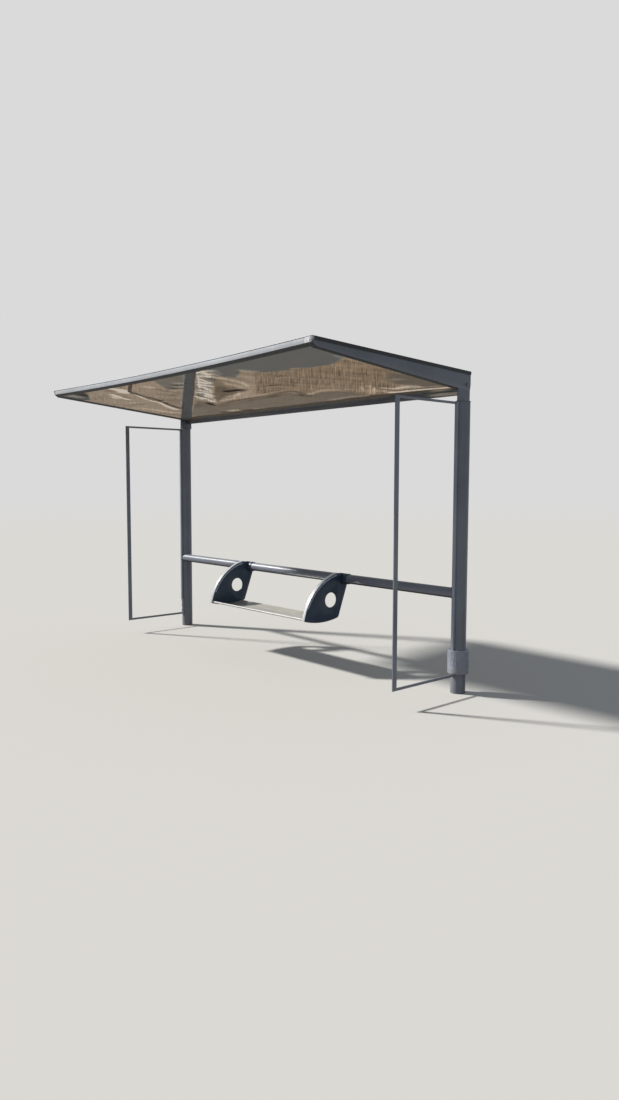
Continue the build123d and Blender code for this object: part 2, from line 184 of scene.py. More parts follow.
class ShelterPaint(bpy.types.PropertyGroup):
    steel: colour("Steel paint", "Grey paint of the posts, arms and frames", (0.214, 0.240, 0.290))
    plate: colour("Bench plate paint", "Darker paint of the end plates and collars", (0.045, 0.072, 0.120))
    # The fascia's colour is partly its own lighter tone and partly painted sunlight; the roof's front edge takes
    # it too
    fascia: colour("Fascia paint", "Paint of the bright front edge of the roof", (0.590, 0.625, 0.680))
    roof: colour("Roof paint", "Dark paint of the top sheet and its turned-down edges", (0.075, 0.077, 0.084))
    # Painted reflections: the soffit's grey and beige tints stand in for the ground that the mirror sheet
    # reflects
    soffit_grey: colour("Soffit grey", "Cooler grey at the front of the soffit", (0.800, 0.850, 0.850))
    soffit_warm: colour("Soffit beige", "Warm beige over most of the soffit", (0.930, 0.665, 0.430))
    seat: colour("Seat paint", "Glossy light paint of the seat pan", (0.515, 0.512, 0.508))
    # The beige-grey that the seat pan turns to towards its rear
    seat_dust: colour("Seat dust", "Beige dust towards the seat pan's rear", (0.440, 0.410, 0.310))
    film: colour("Film", "Milky protective film round the right post's foot", (0.362, 0.402, 0.490))
    dust: colour("Dust", "Pale cement dust near the ground", (0.330, 0.300, 0.260))
    # Painted shade: the colour that darkens every face that looks down
    underside_shade: colour("Undersides", "Paint of the faces that look down", (0.060, 0.058, 0.052))
    orange_peel: length("Orange peel", "Depth of the paint's fine texture", 0.00012, 0.002, precision=5)


class ShelterSizes(bpy.types.PropertyGroup):
    edge: length("Edge radius", "Rounding of the plates' cut edges", 0.0010, 0.003)
    round_segments: IntProperty(name="Round segments", description="Faces round a post or the bench tube",
                                default=96, min=24, max=256)
    sag: length("Roof sag", "How far the roof's front edge hangs down at mid span", 0.0230, 0.03)
    waves: length("Soffit waves", "Depth of the soffit sheet's shallow waves", 0.0012, 0.006)
    bolt_radius: length("Bolt head radius", "Radius over the corners of a bolt head", 0.0100, 0.02)
    weld_radius: length("Weld bead radius", "Radius of one ripple of a weld bead", 0.0040, 0.01)
    weld_pitch: length("Weld ripple pitch", "Distance between a bead's ripples", 0.0030, 0.01)


class ShelterStage(bpy.types.PropertyGroup):
    floor: colour("Floor", "Colour of the pale floor", (0.600, 0.600, 0.592))
    backdrop: colour("Backdrop", "Colour behind the shelter", (0.70, 0.70, 0.70))
    bounce: level("Floor bounce", "How much light the floor throws back on the shelter", 0.15)
    mirrored: level("Floor in the soffit", "How light the floor shows in glossy faces", 0.46)
    key: level("Key light", "Strength of the sun at the front left", 4.8, 20.0)
    fill: level("Fill", "Strength of the even light from all round", 0.30, 2.0)


def paint(name):
    return tuple(getattr(bpy.context.scene.shelter_paint, name))


def sizes():
    return bpy.context.scene.shelter_sizes


def stage():
    return bpy.context.scene.shelter_stage


# ---- Node trees


class Field:
    """A number that changes over a surface. Arithmetic on it adds Math nodes."""

    def __init__(self, tree, socket):
        self.tree = tree
        self.socket = socket

    def combine(self, operation, first, second, clamp=False):
        node = self.tree.nodes.new("ShaderNodeMath")
        node.operation = operation
        node.use_clamp = clamp
        for inlet, value in zip(node.inputs, (first, second)):
            if isinstance(value, Field):
                self.tree.links.new(value.socket, inlet)
            else:
                inlet.default_value = value
        return Field(self.tree, node.outputs[0])

    def __add__(self, other):
        return self.combine("ADD", self, other)

    def __radd__(self, other):
        return self.combine("ADD", other, self)

    def __sub__(self, other):
        return self.combine("SUBTRACT", self, other)

    def __rsub__(self, other):
        return self.combine("SUBTRACT", other, self)

    def __mul__(self, other):
        return self.combine("MULTIPLY", self, other)

    def __rmul__(self, other):
        return self.combine("MULTIPLY", other, self)

    def __truediv__(self, other):
        return self.combine("DIVIDE", self, other)

    def __rtruediv__(self, other):
        return self.combine("DIVIDE", other, self)

    def __pow__(self, other):
        return self.combine("POWER", self, other)

    def clamped(self):
        return self.combine("ADD", self, 0.0, clamp=True)


class NodeTree:
    """A node tree, with one way to add any node."""

    def __init__(self, tree):
        self.tree = tree

    def node(self, kind, sockets=(), **settings):
        """Adds a node with settings, such as an operation, and with what its sockets get."""
        made = self.tree.nodes.new(kind)
        for key, value in settings.items():
            setattr(made, key, value)
        for key, value in dict(sockets).items():
            self.set(made.inputs[key], value)
        return made

    def number(self, output, kind, sockets=(), **settings):
        """Adds a node and returns one of its outputs as a field."""
        return Field(self.tree, self.node(kind, sockets, **settings).outputs[output])

    def set(self, inlet, value):
        """Links a field or a socket to an inlet, or puts a plain value on it."""
        if isinstance(value, Field):
            value = value.socket
        if isinstance(value, bpy.types.NodeSocket):
            self.tree.links.new(value, inlet)
        else:
            inlet.default_value = value


class Finish(NodeTree):
    """A material with one shader, and the patterns that vary it."""

    def __init__(self, name, **constants):
        self.material = bpy.data.materials.new(name)
        self.material.use_nodes = True
        super().__init__(self.material.node_tree)
        self.tree.nodes.clear()
        self.shader = self.node("ShaderNodeBsdfPrincipled")
        self.output = self.node("ShaderNodeOutputMaterial", {"Surface": self.shader.outputs["BSDF"]})
        self.feed(**constants)
        self.place = self.node("ShaderNodeTexCoord").outputs["Object"]
        parts = self.node("ShaderNodeSeparateXYZ", {"Vector": self.place})
        self.x, self.y, self.z = (Field(self.tree, parts.outputs[axis]) for axis in "XYZ")

    def feed(self, **values):
        """Sets or links the shader's own sockets."""
        for key, value in values.items():
            self.set(self.shader.inputs[key.replace("_", " ")], value)

    def show(self, surface):
        """Shows another surface in place of the plain shader."""
        self.set(self.output.inputs["Surface"], surface.outputs[0])

    def attribute(self, name):
        """A value that the piece's mesh carries."""
        return self.number("Fac", "ShaderNodeAttribute", attribute_name=name)

    def noise(self, scale, detail=3.0, roughness=0.55, stretch=(1.0, 1.0, 1.0), turn=(0.0, 0.0, 0.0),
              warp=0.0, where=None):
        """Cloudy noise on the piece's coordinates, turned and then scaled along each axis, or on others."""
        if where is None:
            sockets = {"Vector": self.place, "Rotation": turn, "Scale": tuple(1.0 / f for f in stretch)}
            where = self.node("ShaderNodeMapping", sockets, vector_type="TEXTURE").outputs["Vector"]
        sockets = {"Vector": where, "Scale": scale, "Detail": detail, "Roughness": roughness,
                   "Distortion": warp}
        return self.number("Fac", "ShaderNodeTexNoise", sockets)

    def step(self, value, low, high):
        """0 below low, 1 above high, and smooth between. Where low is the larger, it falls instead."""
        sockets = {"Value": value, "From Min": low, "From Max": high}
        if low > high:
            sockets = {"Value": value, "From Min": high, "From Max": low, "To Min": 1.0, "To Max": 0.0}
        return self.number("Result", "ShaderNodeMapRange", sockets, clamp=True,
                           interpolation_type="SMOOTHSTEP")

    def mix(self, amount, first, second):
        """A colour between two colours or colour sockets."""
        first, second = (shade if isinstance(shade, bpy.types.NodeSocket) else (*shade, 1.0)
                         for shade in (first, second))
        return self.node("ShaderNodeMix", {0: amount, 6: first, 7: second}, data_type="RGBA").outputs[2]

    def mottled(self, base, cloud, *marks):
        """A base colour, darker or lighter by a first pattern, and then marked by others.

        Each row is a pattern, its start and its end. The first goes on with how dark and light the base gets,
        the others with how much of the mark shows and how light it is.
        """
        pattern, start, end, dark, light = cloud
        tone = self.mix(self.step(pattern, start, end), lighter(base, dark), lighter(base, light))
        for pattern, start, end, amount, factor in marks:
            tone = self.mix(self.step(pattern, start, end) * amount, tone, lighter(base, factor))
        return tone

    def bump(self, height, depth, **previous):
        """A relief of that depth in metres, on another one's Normal if that is given."""
        sockets = {"Height": height, "Distance": depth, "Strength": 1.0, **previous}
        return self.node("ShaderNodeBump", sockets).outputs["Normal"]


class Repeater(NodeTree):
    """A Geometry Nodes tree that repeats a small shape, with named inputs."""

    def __init__(self, name, **inputs):
        super().__init__(bpy.data.node_groups.new(name, "GeometryNodeTree"))
        sockets = self.tree.interface
        sockets.new_socket("Geometry", in_out="INPUT", socket_type="NodeSocketGeometry")
        self.keys = {}
        for label, kind in {**inputs, "Material": "NodeSocketMaterial"}.items():
            made = sockets.new_socket(label.replace("_", " "), in_out="INPUT", socket_type=kind)
            self.keys[label] = made.identifier
        sockets.new_socket("Geometry", in_out="OUTPUT", socket_type="NodeSocketGeometry")
        self.source = self.node("NodeGroupInput")
        self.sink = self.node("NodeGroupOutput")

    def inlet(self, label):
        return self.source.outputs[label.replace("_", " ")]

    def repeat(self, points, shape, **turned):
        """Puts the shape on each point, realizes the instances and sets their material."""
        spread = self.node("GeometryNodeInstanceOnPoints", {"Points": points, "Instance": shape, **turned})
        real = self.node("GeometryNodeRealizeInstances", {"Geometry": spread.outputs[0]})
        sockets = {"Geometry": real.outputs[0], "Material": self.inlet("Material")}
        self.set(self.sink.inputs[0], self.node("GeometryNodeSetMaterial", sockets).outputs[0])
        return self

    def run(self, name, verts, edges=(), facing=(), **values):
        """The tree's result on loose points or on lines, as a plain mesh."""
        mesh = bpy.data.meshes.new(name)
        mesh.from_pydata(verts, edges, [])
        if facing:
            directions = mesh.attributes.new("facing", "FLOAT_VECTOR", "POINT")
            for datum, direction in zip(directions.data, facing):
                datum.vector = direction
        carrier = placed("carrier", mesh)
        modifier = carrier.modifiers.new("repeat", "NODES")
        modifier.node_group = self.tree
        for label, value in values.items():
            modifier[self.keys[label]] = value
        return evaluated(carrier)


def bolt_tree():
    """Hexagon bolts on washers, one on each point, facing the way that the point says."""
    tree = Repeater("bolt_rows", Head_Radius="NodeSocketFloat")

    def times(factor):
        sockets = {0: tree.inlet("Head_Radius"), 1: factor}
        return tree.node("ShaderNodeMath", sockets, operation="MULTIPLY").outputs[0]

    bolt = tree.node("GeometryNodeJoinGeometry")
    for shape, sides, height, depth, radii in (
            ("Cylinder", 6, 0.50, 0.62, {"Radius": 1.0}),
            ("Cone", 24, 0.80, 0.10, {"Radius Top": 0.72, "Radius Bottom": 0.86}),
            ("Cylinder", 32, 0.10, 0.24, {"Radius": 1.35})):
        sockets = {key: times(factor) for key, factor in {**radii, "Depth": depth}.items()}
        made = tree.node("GeometryNodeMesh" + shape, {"Vertices": sides, **sockets})
        lift = tree.node("ShaderNodeCombineXYZ", {"Z": times(height)})
        sockets = {"Geometry": made.outputs[0], "Translation": lift.outputs[0]}
        tree.set(bolt.inputs[0], tree.node("GeometryNodeTransform", sockets).outputs[0])
    facing = tree.node("GeometryNodeInputNamedAttribute", {"Name": "facing"}, data_type="FLOAT_VECTOR")
    align = tree.node("FunctionNodeAlignRotationToVector", {"Vector": facing.outputs[0]}, axis="Z")
    return tree.repeat(tree.inlet("Geometry"), bolt.outputs[0], Rotation=align.outputs[0])


def weld_tree():
    """Weld beads: overlapping ripples along lines."""
    tree = Repeater("weld_beads", Ripple_Radius="NodeSocketFloat", Pitch="NodeSocketFloat")
    path = tree.node("GeometryNodeMeshToCurve", {"Mesh": tree.inlet("Geometry")})
    sockets = {"Curve": path.outputs[0], "Length": tree.inlet("Pitch")}
    steps = tree.node("GeometryNodeCurveToPoints", sockets, mode="LENGTH")
    sockets = {"Radius": tree.inlet("Ripple_Radius"), "Subdivisions": 2}
    ripple = tree.node("GeometryNodeMeshIcoSphere", sockets)
    flat = tree.node("GeometryNodeTransform", {"Geometry": ripple.outputs[0], "Scale": (1.0, 1.0, 0.55)})
    wobble = tree.node("FunctionNodeRandomValue", {2: 0.82, 3: 1.10, "Seed": 7}, data_type="FLOAT")
    return tree.repeat(steps.outputs[0], flat.outputs[0], Rotation=steps.outputs["Rotation"],
                       Scale=wobble.outputs[1])


# ---- Finishes


def lighter(shade, factor):
    return tuple(min(1.0, channel * factor) for channel in shade)


def steel_paint(name, shade, roughness=0.38, dust=1.0, front=None, reflected_streaks=False, coat=0.30):
    """Semi-gloss paint with an orange-peel surface, faint clouds, rain marks and dust towards the ground.

    A sheet's front edge can have a colour of its own, and a beam bright painted reflections towards its right
    end.
    """
    metallic = 0.10
    finish = Finish(name, Metallic=metallic, Coat_Roughness=0.22, Specular_IOR_Level=0.35)
    clouds = finish.noise(2.3, detail=4.0)
    runs = finish.noise(9.0, detail=4.0, stretch=(6.0, 6.0, 0.35))
    specks = finish.noise(420.0, detail=2.0)
    settled = finish.step(finish.noise(7.0, detail=6.0, roughness=0.7), 0.42, 0.72)
    low = finish.step(finish.z, 0.55, 0.0) * dust
    under = finish.attribute("underside_shade")
    tone = finish.mottled(shade, (clouds, 0.30, 0.72, 0.90, 1.12), (runs, 0.56, 0.82, 0.22, 1.75),
                          (runs, 0.46, 0.20, 0.18, 0.62), (specks, 0.60, 0.72, 0.16, 1.9))
    tone = finish.mix((low * settled * 0.75).clamped(), tone, paint("dust"))
    # Painted shade: faces that look down are darkened towards the underside shade colour
    tone = finish.mix(under * 0.85, tone, paint("underside_shade"))
    if front:
        tone = finish.mix(finish.step(finish.y, EDGE_FROM, EDGE_TO), tone, front)
    matt = roughness + (clouds - 0.5) * 0.16 + finish.step(runs, 0.5, 0.8) * 0.10 + low * settled * 0.35
    # Painted reflections: bright beige stripes, more metallic and glossier, mostly towards the beam's right end
    if reflected_streaks:
        drag = finish.noise(40.0, detail=2.0, stretch=(0.030, 1.0, 1.0), warp=0.2)
        shine = finish.step(drag, 0.49, 0.56) * (0.10 + finish.step(finish.x, 2.7, 3.2) * 0.90)
        tone = finish.mix(shine, tone, (0.66, 0.60, 0.52))
        finish.feed(Metallic=metallic + shine * (1.0 - metallic))
        matt = matt - shine * 0.30
    peel = bpy.context.scene.shelter_paint.orange_peel
    fine = finish.bump(finish.noise(900.0, detail=2.0), peel)
    broad = finish.bump(finish.noise(26.0, detail=2.0), peel * 2.5, Normal=fine)
    finish.feed(Base_Color=tone, Roughness=(matt + under * 0.45).clamped(), Normal=broad,
                Coat_Weight=((1.0 - low * settled - under) * coat).clamped())
    return finish.material


def soffit_sheet_finish(name):
    """Mirror sheet with haze and painted reflections; the mesh says how light, warm and streaked each place is.
    """
    finish = Finish(name, Metallic=1.0, Specular_Tint=(1.0, 0.92, 0.83, 1.0))
    light, reflection_warmth, reflection_strokes = (finish.attribute(key) for key in ("reflection_lightness", "reflection_warmth", "reflection_strokes"))
    from_x, from_y = finish.x - FAN[0], finish.y - FAN[1]
    bearing = from_y.combine("ARCTAN2", from_y, from_x)
    distance = (from_x * from_x + from_y * from_y) ** 0.5
    fan = finish.node("ShaderNodeCombineXYZ", {"X": distance * 2.2, "Y": bearing * 640.0})
    fine = finish.noise(1.0, detail=2.0, warp=0.15, where=fan.outputs["Vector"])
    bold = finish.noise(24.0, stretch=(0.16, 1.0, 1.0), turn=STROKE_LEAN, warp=0.9)
    weave = finish.noise(11.0, stretch=(1.0, 0.16, 1.0), turn=STROKE_LEAN, warp=0.4)
    drift = finish.noise(9.0, detail=4.0, stretch=(0.35, 1.6, 1.0), warp=0.6)
    texture = (fine - 0.5) * 3.4 + (bold - 0.5) * 1.3 + (weave - 0.5) * 1.5
    clear = (light * 0.95 - 0.055) * (1.0 + reflection_strokes * texture) * (0.72 + drift * 0.56)
    # The sheet's tint is painted reflection, greyer or warmer place by place
    grey, warm = paint("soffit_grey"), paint("soffit_warm")
    tint = finish.mix((reflection_warmth + (drift - 0.5) * 0.5).clamped(), grey, warm)
    # Painted highlights: the lightest places turn cream-white
    tint = finish.mix(finish.step(light, 0.62, 1.05), tint, (1.0, 0.97, 0.90))
    wave = finish.bump(finish.noise(3.2, detail=2.0, stretch=(1.0, 1.8, 1.0)), 0.0010)
    finish.feed(Base_Color=tint, Normal=wave,
                Roughness=(0.025 + (1.0 - light) * 0.03 + reflection_strokes * 0.02).clamped())
    # The haze's colour follows the painted reflections and is dark brown where they are darkest
    dull = finish.mix(reflection_warmth.clamped(), lighter(grey, 0.55), lighter(warm, 0.55))
    dull = finish.mix(finish.step(light, 0.06, 0.30), (0.10, 0.085, 0.070), dull)
    sockets = {"Base Color": dull, "Roughness": 0.8, "Specular IOR Level": 0.0}
    haze = finish.node("ShaderNodeBsdfPrincipled", sockets)
    sockets = {0: clear.clamped(), 1: haze.outputs[0], 2: finish.shader.outputs[0]}
    finish.show(finish.node("ShaderNodeMixShader", sockets))
    return finish.material


def seat_finish(name):
    """Glossy light paint, polished by its forming and darker beige-grey towards the rear."""
    finish = Finish(name, Metallic=0.0, Coat_Roughness=0.14, Coat_IOR=1.5)
    clouds = finish.noise(3.0, detail=4.0)
    drag = finish.noise(30.0, detail=4.0, stretch=(0.12, 1.0, 1.0))
    scuffed = finish.step(drag, 0.5, 0.8)
    tone = finish.mottled(paint("seat"), (clouds, 0.32, 0.70, 0.88, 1.12), (drag, 0.52, 0.70, 0.60, 1.45),
                          (drag, 0.46, 0.28, 0.50, 0.68))
    low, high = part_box("seat_pan")
    rearward = finish.step(finish.y, low.y * 0.7 + high.y * 0.3, low.y * 0.2 + high.y * 0.8)
    tone = finish.mix(rearward * 0.42, tone, paint("seat_dust"))
    finish.feed(Base_Color=tone, Roughness=(0.34 + (clouds - 0.5) * 0.12 + scuffed * 0.12).clamped(),
                Coat_Weight=(0.40 - scuffed * 0.25).clamped(),
                Normal=finish.bump(finish.noise(22.0, detail=2.0), 0.0004))
    return finish.material


def film_finish(name):
    """Milky plastic film, cloudy where it is bunched, with creases wound round the post."""
    finish = Finish(name, Subsurface_Weight=0.25, Subsurface_Radius=(0.02, 0.02, 0.022), Coat_Roughness=0.18)
    bunch = finish.noise(18.0, detail=4.0, stretch=(1.0, 1.0, 2.2), warp=0.8)
    crease = finish.noise(60.0, detail=4.0, stretch=(0.4, 0.4, 3.4))
    # Painted highlight and shade: the creases are lighter on their ridges and darker in their hollows
    tone = finish.mottled(paint("film"), (bunch, 0.30, 0.72, 0.86, 1.14), (crease, 0.54, 0.70, 0.5, 1.5),
                          (crease, 0.46, 0.32, 0.4, 0.7))
    tone = finish.mix(finish.step(finish.z, 0.24, 0.14) * 0.35, tone, paint("dust"))
    relief = finish.bump(crease, 0.0010, Normal=finish.bump(bunch, 0.002))
    finish.feed(Base_Color=tone, Roughness=(0.34 + bunch * 0.2).clamped(), Normal=relief,
                Coat_Weight=(0.25 + finish.step(crease, 0.5, 0.7) * 0.4).clamped())
    return finish.material


def tape_finish(name):
    """White film left on the roof's corner and a rear bar, bright and crumpled."""
    finish = Finish(name)
    crumple = finish.noise(70.0, detail=4.0, stretch=(1.6, 1.6, 0.6))
    # Painted shade: the crumples are grey in their hollows and white on their tops
    tone = finish.mix(finish.step(crumple, 0.42, 0.60), (0.52, 0.53, 0.56), (0.96, 0.97, 0.98))
    finish.feed(Base_Color=tone, Roughness=(0.25 + crumple * 0.3).clamped(),
                Normal=finish.bump(crumple, 0.004))
    return finish.material


def zinc_finish(name):
    """Zinc-plated bolts, a little dull."""
    finish = Finish(name, Metallic=0.85)
    grain = finish.noise(600.0)
    finish.feed(Base_Color=finish.mix(grain, (0.16, 0.165, 0.175), (0.34, 0.345, 0.36)),
                Roughness=(0.34 + grain * 0.2).clamped())
    return finish.material


def steel_paints():
    """Each steel paint's colour, and how it differs from the plain one."""
    steel, fascia = paint("steel"), paint("fascia")
    return {
        "frame_paint": (steel, {}),
        "plate_paint": (paint("plate"), {"roughness": 0.45, "dust": 0.3}),
        # The screens' paint is a lighter copy of the steel: painted light on their shaded faces
        "screen_paint": (lighter(steel, 1.30), {"roughness": 0.42}),
        # The rear bars' paint is a much lighter copy of the steel: painted sunlight on their front faces
        "bar_paint": (lighter(steel, 1.9), {"roughness": 0.42}),
        # Lighter than the steel: partly the fascia's own tone, partly painted sunlight
        "fascia_paint": (fascia, {"roughness": 0.30, "dust": 0.0}),
        # The beam's paint is darker than the steel as painted shade under the roof, and carries painted
        # reflections
        "beam_paint": (lighter(steel, 0.80), {"roughness": 0.5, "dust": 0.0, "reflected_streaks": True}),
        "roof_paint": (paint("roof"), {"roughness": 0.60, "dust": 0.0, "front": fascia, "coat": 0.05}),
        # The armrest bars' paint is lighter than the fascia's: painted sunlight along the bars
        "armrest_paint": (lighter(fascia, 1.40), {"roughness": 0.35, "dust": 0.3}),
        # The rims' paint is a far lighter copy of the steel: a painted highlight along the rims, which lie in
        # shade
        "rim_paint": (lighter(steel, 2.7), {"roughness": 0.35, "dust": 0.0}),
    }


OTHER_FINISHES = {"soffit_gloss": soffit_sheet_finish, "seat_gloss": seat_finish, "wrap_film": film_finish,
                  "film_remnant": tape_finish, "zinc_fastener": zinc_finish}
FINISHES = {}


def finish_of(name):
    """Each finish is made once, when a piece first asks for it."""
    if name not in FINISHES:
        if name in OTHER_FINISHES:
            FINISHES[name] = OTHER_FINISHES[name](name)
        else:
            shade, settings = steel_paints()[name]
            FINISHES[name] = steel_paint(name, shade, **settings)
    return FINISHES[name]


# ---- Mesh building


def placed(name, data):
    """A new object in the scene."""
    thing = bpy.data.objects.new(name, data)
    bpy.context.scene.collection.objects.link(thing)
    return thing


def evaluated(carrier):
    """The plain mesh that an object's modifiers leave. The object itself goes."""
    graph = bpy.context.evaluated_depsgraph_get()
    result = bpy.data.meshes.new_from_object(carrier.evaluated_get(graph))
    carrier.modifiers.clear()
    bpy.data.objects.remove(carrier)
    return result


@contextmanager
def edited(mesh):
    """Opens a mesh, and writes the changes back to it."""
    bm = bmesh.new()
    bm.from_mesh(mesh)
    yield bm
    bm.to_mesh(mesh)
    bm.free()


def smooth(mesh, angle=35.0):
    """Smooth faces, with edges sharper than the angle kept crisp."""
    mesh.shade_smooth()
    mesh.set_sharp_from_angle(angle=math.radians(angle))
    return mesh


def mesh_from(name, verts, faces):
    mesh = bpy.data.meshes.new(name)
    mesh.from_pydata([tuple(v) for v in verts], [], faces)
    mesh.validate()
    mesh.update()
    return mesh


def piece(name, mesh, finish, replaces=()):
    """Puts a finished mesh in the scene as a piece of the shelter."""
    thing = placed(name, mesh)
    mesh.materials.clear()
    mesh.materials.append(finish_of(finish))
    # Marks the faces that look down, which the steel paints darken as painted shade
    under = mesh.attributes.new("underside_shade", "FLOAT", "FACE")
    under.data.foreach_set("value", [1.0 if face.normal.z < -0.60 else 0.0 for face in mesh.polygons])
    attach(thing, BODY)
    if replaces:
        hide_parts(*replaces)
    return thing


def with_modifier(mesh, kind, **settings):
    """The mesh as a modifier leaves it."""
    carrier = placed("carrier", mesh)
    modifier = carrier.modifiers.new(kind.lower(), kind)
    for key, value in settings.items():
        setattr(modifier, key, value)
    return evaluated(carrier)


def rounded(mesh, width):
    """The mesh with its sharp edges rounded."""
    return smooth(with_modifier(mesh, "BEVEL", width=width, segments=2, limit_method="ANGLE",
                                angle_limit=math.radians(38.0), harden_normals=False), 42.0)


def cut(mesh, cutter):
    """The mesh with another taken out of it."""
    tool = placed("cutter", cutter)
    result = with_modifier(mesh, "BOOLEAN", operation="DIFFERENCE", object=tool, solver="EXACT")
    bpy.data.objects.remove(tool)
    return result


def welded_copy(node):
    """A closed copy of a CAD node's loose triangles, with each flat area as one face."""
    bm = bmesh.new()
    bm.from_mesh(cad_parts[node].data)
    bmesh.ops.remove_doubles(bm, verts=bm.verts, dist=0.000002)
    bmesh.ops.dissolve_limit(bm, angle_limit=math.radians(0.6), verts=bm.verts, edges=bm.edges)
    faces = [[vert.index for vert in face.verts] for face in bm.faces]
    mesh = mesh_from(node + "_finished", [vert.co.copy() for vert in bm.verts], faces)
    bm.free()
    return mesh


def outward(mesh):
    """Turns the faces of a closed mesh so that they point out."""
    with edited(mesh) as bm:
        bmesh.ops.remove_doubles(bm, verts=bm.verts, dist=0.000001)
        bmesh.ops.recalc_face_normals(bm, faces=bm.faces)
    return mesh


def ringed(name, rings, ends="flat"):
    """A closed mesh through rings of points. Its ends are flat, made of strips, or joined to each other."""
    count, last = len(rings[0]), len(rings) - 1
    spans = [(low, low + 1) for low in range(last)] + ([(last, 0)] if ends == "joined" else [])
    faces = []
    for low, high in spans:
        for step in range(count):
            after = (step + 1) % count
            corners = ((low, step), (low, after), (high, after), (high, step))
            faces.append([ring * count + index for ring, index in corners])
    for ring in () if ends == "joined" else (0, last):
        cap = [range(count)]
        if ends == "strips":
            cap = [(i, i + 1, count - 2 - i, count - 1 - i) for i in range(count // 2 - 1)]
        faces += [[ring * count + index for index in face] for face in cap]
    return outward(mesh_from(name, [point for ring in rings for point in ring], faces))


def sleeve(name, around, levels, place):
    """A closed sleeve with an outer and an inner skin.

    Place gives a point from its direction's cosine and sine, its share of the height and its skin.
    """
    rings = []
    for outside, order in ((True, range(levels + 1)), (False, range(levels, -1, -1))):
        rings += [[place(c, s, step / levels, outside) for c, s in circle(around)] for step in order]
    return ringed(name, rings, ends="joined")


def circle(steps):
    """The cosine and sine of even steps round a circle."""
    turns = [2.0 * math.pi * step / steps for step in range(steps)]
    return [(math.cos(turn), math.sin(turn)) for turn in turns]


def lathe(name, profile, x=0.0, lying=False):
    """A closed form turned about an upright line, from (radius, height) pairs from the bottom to the top.

    A lying one is turned about the bench tube's line, and its heights run along X.
    """
    rings = [[(x + radius * c, radius * s, height) for c, s in circle(sizes().round_segments)]
             for radius, height in profile]
    mesh = ringed(name, rings)
    if lying:
        turn = Matrix.Rotation(math.radians(90.0), 4, "Y")
        mesh.transform(Matrix.Translation((0.0, TUBE_Y, TUBE_Z)) @ turn)
    return mesh


def joined(name, meshes):
    """One mesh from several closed ones."""
    verts, faces = [], []
    for mesh in meshes:
        start = len(verts)
        verts.extend(v.co.copy() for v in mesh.vertices)
        faces.extend([start + index for index in face.vertices] for face in mesh.polygons)
    return smooth(mesh_from(name, verts, faces), 42.0)


def largest_part(mesh):
    """The mesh without its smaller loose parts."""
    with edited(mesh) as bm:
        parts, unseen = [], set(bm.verts)
        while unseen:
            part, fresh = set(), {unseen.pop()}
            while fresh:
                part |= fresh
                fresh = {edge.other_vert(vert) for vert in fresh for edge in vert.link_edges} & unseen
                unseen -= fresh
            parts.append(part)
        keep = max(parts, key=len)
        bmesh.ops.delete(bm, geom=[vert for vert in bm.verts if vert not in keep], context="VERTS")
    return mesh


def share(value, start, end):
    """How far a value has come from start to end, between 0 and 1."""
    return min(1.0, max(0.0, (value - start) / (end - start)))


def droop(x, y):
    """How far the roof hangs down at a place: most at mid span of its front edge, and nothing at the rear."""
    along = share(x, POST_X["left"], POST_X["right"])
    return sizes().sag * 4.0 * along * (1.0 - along) * share(y, ROOF_REAR_Y, NOSE_Y) ** 1.5


def slice_at(bm, x, way=1.0, clear=False):
    """Cuts an open mesh across at x. Clearing drops what is beyond the cut, on the side of way."""
    everything = [*bm.verts, *bm.edges, *bm.faces]
    bmesh.ops.bisect_plane(bm, geom=everything, plane_co=(x, 0.0, 0.0), plane_no=(way, 0.0, 0.0),
                           clear_outer=clear)


def drooped(mesh, columns=48):
    """The mesh cut across into columns along the roof, and hung down with it."""
    with edited(mesh) as bm:
        for step in range(1, columns):
            slice_at(bm, POST_X["left"] + (POST_X["right"] - POST_X["left"]) * step / columns)
        for vert in bm.verts:
            vert.co.z -= droop(vert.co.x, vert.co.y)
    return mesh


def on_sheet(row):
    """Points on the soffit in metres, from a row of x and y in centimetres."""
    return np.array(row).reshape(-1, 2) / 100


def off_line(places, points):
    """The distance from each place to a line through points."""
    nearest = np.full(len(places), np.inf)
    for start, end in zip(points, points[1:]):
        along, reach = end - start, places - start
        part = np.clip(reach @ along / (along @ along), 0.0, 1.0)
        nearest = np.minimum(nearest, np.linalg.norm(reach - part[:, None] * along, axis=1))
    return nearest


def inset(places, corners):
    """How far each place is inside an outline, or below nothing where it is outside."""
    closed, inside = np.vstack((corners, corners[:1])), np.zeros(len(places), bool)
    x, y = places.T
    for (x1, y1), (x2, y2) in zip(closed, closed[1:]):
        if y1 != y2:
            inside ^= ((y1 > y) != (y2 > y)) & (x < x1 + (y - y1) * (x2 - x1) / (y2 - y1))
    return off_line(places, closed) * np.where(inside, 1.0, -1.0)


# ---- Operators: one for each piece or group of like pieces


class SHELTER_OT_posts(bpy.types.Operator):
    """Rounds the two posts and their cap plates"""
    bl_idname = "shelter.posts"
    bl_label = "Posts and caps"

    def execute(self, context):
        soft = CAP_ROUND
        for side in SIDES:
            self.turned(side, "_post", "_post_tube", [(0.0, ARRIS), (ARRIS, 0.0)])
            rolled = [(0.0, soft), (soft * 0.3, soft * 0.3), (soft, 0.0)]
            self.turned(side, "_post_cap", "_post_cap_plate", rolled)
        return {"FINISHED"}

    def turned(self, side, node, name, top):
        """Turns a piece about its post's line. Its top edge is given by (inset, drop) pairs."""
        low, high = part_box(side + node)
        r = (high.x - low.x) / 2
        profile = [(r - ARRIS, low.z), (r, low.z + ARRIS)]
        profile += [(r - inward, high.z - drop) for inward, drop in top]
        mesh = lathe(side + name, profile, POST_X[side])
        piece(side + name, smooth(mesh), "frame_paint", [side + node])


